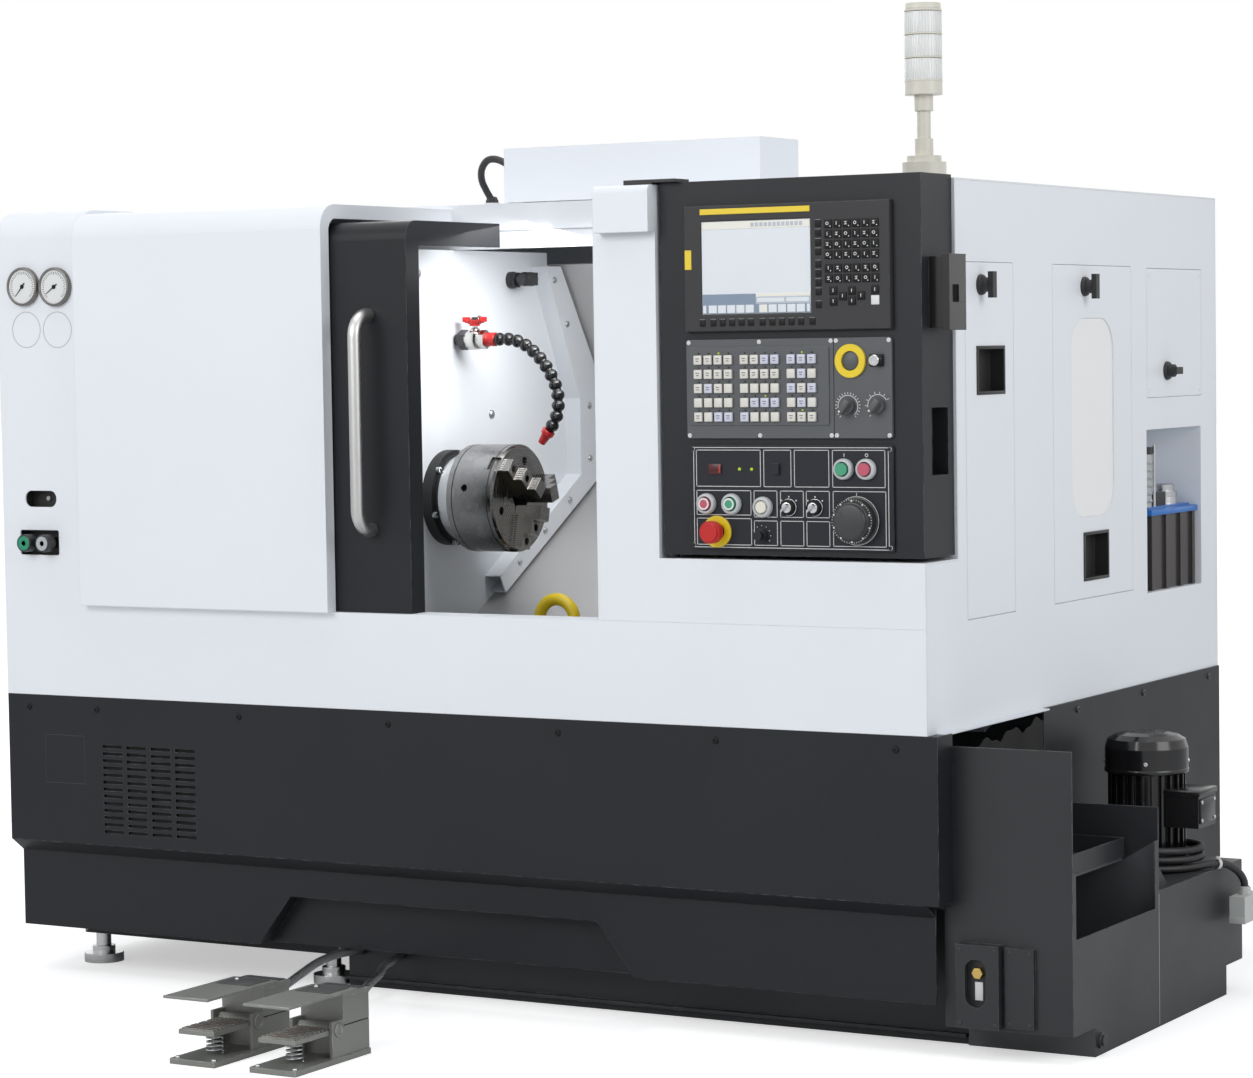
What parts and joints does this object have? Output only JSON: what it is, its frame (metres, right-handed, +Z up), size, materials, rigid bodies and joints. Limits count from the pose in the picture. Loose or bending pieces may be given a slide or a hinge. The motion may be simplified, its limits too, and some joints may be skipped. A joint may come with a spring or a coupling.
{
  "type": "cnc turning lathe",
  "caption": "Slant-bed turning lathe in a white guard with a sliding chamber door, swing-out operator console, three-jaw chuck, coolant tank with pump and foot pedals",
  "frame": {"origin": "middle of the bounding box on the floor, cables left out", "axes": "+X along the spindle to the operator's right, +Y to the back of the machine, +Z up"},
  "size_m": [2.308, 2.002, 1.82],
  "materials": {
    "white_paint": "light textured powder coat",
    "charcoal_paint": "fine textured powder coat",
    "grey_casting": "painted casting with machined seats",
    "machined_steel": "turned and ground",
    "yellow_paint": "gloss",
    "black_plastic": "matt moulded",
    "red_plastic": "moulded",
    "green_plastic": "moulded",
    "oil_tank_plastic": "translucent, oil inside",
    "black_paint": "gloss",
    "black_rubber": "corrugated",
    "ivory_plastic": "moulded",
    "clear_lens": "ribbed clear",
    "pedal_alloy": "cast, worn edges",
    "conduit_steel": "braided"
  },
  "bodies": {
    "frame": {"slant_bed": "grey_casting", "levelling_feet": "machined_steel", "headstock": "grey_casting", "spindle_wall": "white_paint", "way_cover": "machined_steel", "lifting_ring": "yellow_paint", "front_apron": "white_paint", "pocket_cover": "white_paint", "right_front_panel": "white_paint", "roof_panel": "white_paint", "top_cover": "white_paint", "rear_guard": "white_paint", "right_side_panel": "white_paint", "base_front_panel": "charcoal_paint", "base_side_panel": "charcoal_paint", "pressure_gauges": "machined_steel", "lube_tank": "oil_tank_plastic", "lube_pump": "machined_steel", "coolant_tank": "charcoal_paint", "chip_tray": "charcoal_paint", "coolant_pump": "black_paint", "pump_cable": "black_rubber", "pump_cable_coil": "black_rubber", "pump_plug": "ivory_plastic", "signal_tower": "ivory_plastic", "signal_lenses": "clear_lens", "roof_hose": "black_rubber", "pedal_bodies": "pedal_alloy", "conduit_left": "conduit_steel", "conduit_right": "conduit_steel", "coolant_valve": "machined_steel", "coolant_hose": "black_plastic"},
    "door": {"door_panel": "charcoal_paint", "door_handle": "machined_steel"},
    "console": {"console_box": "charcoal_paint", "display_unit": "black_plastic", "key_panel": "charcoal_paint", "switch_panel": "black_plastic"},
    "spindle_unit": {"spindle": "machined_steel", "chuck_body": "machined_steel"},
    "jaw_1": {"chuck_jaw_1": "machined_steel"},
    "jaw_2": {"chuck_jaw_2": "machined_steel"},
    "jaw_3": {"chuck_jaw_3": "machined_steel"},
    "saddle_unit": {"saddle": "machined_steel"},
    "cross_unit": {"cross_slide": "grey_casting"},
    "turret_disc": {"turret": "machined_steel"},
    "front_leaf": {"side_door_front": "white_paint"},
    "rear_leaf": {"side_door_rear": "white_paint"},
    "hatch_leaf": {"service_hatch": "white_paint"},
    "left_treadle": {"treadle_left": "pedal_alloy"},
    "right_treadle": {"treadle_right": "pedal_alloy"},
    "valve_lever": {"valve_handle": "red_plastic"},
    "cycle_stop": {"cycle_stop_button": "red_plastic"},
    "cycle_start": {"cycle_start_button": "green_plastic"},
    "power_on": {"power_on_button": "green_plastic"},
    "power_off": {"power_off_button": "red_plastic"},
    "estop": {"estop_button": "red_plastic"},
    "feed": {"feed_knob": "black_plastic"},
    "speed": {"spindle_knob": "black_plastic"},
    "pulse_wheel": {"handwheel": "black_plastic"}
  },
  "joints": [
    {"name": "door_slide", "type": "slide", "parent": "frame", "child": "door", "axis": [1, 0, 0], "range_m": [0, 0.405]},
    {"name": "console_swing", "type": "hinge", "parent": "frame", "child": "console", "pos_m": [0.384, -0.378, 1.19], "axis": [0, 0, -1], "range_deg": [0, 80]},
    {"name": "cycle_stop_press", "type": "slide", "parent": "console", "child": "cycle_stop", "axis": [0, 1, 0], "range_m": [0, 0.004], "stiffness_N_per_m": 300, "springref_m": -0.002},
    {"name": "cycle_start_press", "type": "slide", "parent": "console", "child": "cycle_start", "axis": [0, 1, 0], "range_m": [0, 0.004], "stiffness_N_per_m": 300, "springref_m": -0.002},
    {"name": "power_on_press", "type": "slide", "parent": "console", "child": "power_on", "axis": [0, 1, 0], "range_m": [0, 0.004], "stiffness_N_per_m": 300, "springref_m": -0.002},
    {"name": "power_off_press", "type": "slide", "parent": "console", "child": "power_off", "axis": [0, 1, 0], "range_m": [0, 0.004], "stiffness_N_per_m": 300, "springref_m": -0.002},
    {"name": "estop_press", "type": "slide", "parent": "console", "child": "estop", "axis": [0, 1, 0], "range_m": [0, 0.005]},
    {"name": "feed_turn", "type": "hinge", "parent": "console", "child": "feed", "pos_m": [0.742, -0.397, 1.124], "axis": [0, 1, 0], "range_deg": [-135, 135]},
    {"name": "speed_turn", "type": "hinge", "parent": "console", "child": "speed", "pos_m": [0.799, -0.397, 1.125], "axis": [0, 1, 0], "range_deg": [-135, 135]},
    {"name": "pulse_turn", "type": "hinge", "parent": "console", "child": "pulse_wheel", "pos_m": [0.756, -0.397, 0.927], "axis": [0, 1, 0], "continuous": true},
    {"name": "spindle_spin", "type": "hinge", "parent": "frame", "child": "spindle_unit", "pos_m": [-0.235, -0.002, 0.94], "axis": [1, 0, 0], "continuous": true},
    {"name": "jaw_1_slide", "type": "slide", "parent": "spindle_unit", "child": "jaw_1", "axis": [0, 0.9563, 0.2924], "range_m": [-0.004, 0.004]},
    {"name": "jaw_2_slide", "type": "slide", "parent": "spindle_unit", "child": "jaw_2", "axis": [0, -0.7314, 0.682], "range_m": [-0.004, 0.004]},
    {"name": "jaw_3_slide", "type": "slide", "parent": "spindle_unit", "child": "jaw_3", "axis": [0, -0.225, -0.9744], "range_m": [-0.004, 0.004]},
    {"name": "saddle_slide", "type": "slide", "parent": "frame", "child": "saddle_unit", "axis": [-1, 0, 0], "range_m": [0, 0.16]},
    {"name": "cross_feed", "type": "slide", "parent": "saddle_unit", "child": "cross_unit", "axis": [0, -0.866, -0.5], "range_m": [0, 0.1]},
    {"name": "turret_index", "type": "hinge", "parent": "cross_unit", "child": "turret_disc", "pos_m": [0.32, 0.22469, 1.07084], "axis": [1, 0, 0], "continuous": true},
    {"name": "front_leaf_tilt", "type": "hinge", "parent": "frame", "child": "front_leaf", "pos_m": [0.8845, -0.123, 0.7481], "axis": [0, 1, 0], "range_deg": [0, 25]},
    {"name": "rear_leaf_tilt", "type": "hinge", "parent": "frame", "child": "rear_leaf", "pos_m": [0.8845, 0.35, 0.7481], "axis": [0, 1, 0], "range_deg": [0, 25]},
    {"name": "hatch_lift", "type": "hinge", "parent": "frame", "child": "hatch_leaf", "pos_m": [0.8845, 0.77, 1.3669], "axis": [0, -1, 0], "range_deg": [0, 80]},
    {"name": "left_treadle_press", "type": "hinge", "parent": "frame", "child": "left_treadle", "pos_m": [-0.245, -0.852, 0.058], "axis": [1, 0, 0], "range_deg": [0, 12], "stiffness_Nm_per_rad": 8, "springref_deg": -5.73},
    {"name": "right_treadle_press", "type": "hinge", "parent": "frame", "child": "right_treadle", "pos_m": [-0.074, -0.852, 0.058], "axis": [1, 0, 0], "range_deg": [0, 12], "stiffness_Nm_per_rad": 8, "springref_deg": -5.73},
    {"name": "valve_turn", "type": "hinge", "parent": "frame", "child": "valve_lever", "pos_m": [-0.294, 0.04, 1.282], "axis": [0, 0, 1], "range_deg": [0, 90]}
  ],
  "couplings": [
    {"joint": "jaw_2_slide", "follows": "jaw_1_slide", "ratio": 1},
    {"joint": "jaw_3_slide", "follows": "jaw_1_slide", "ratio": 1}
  ]
}
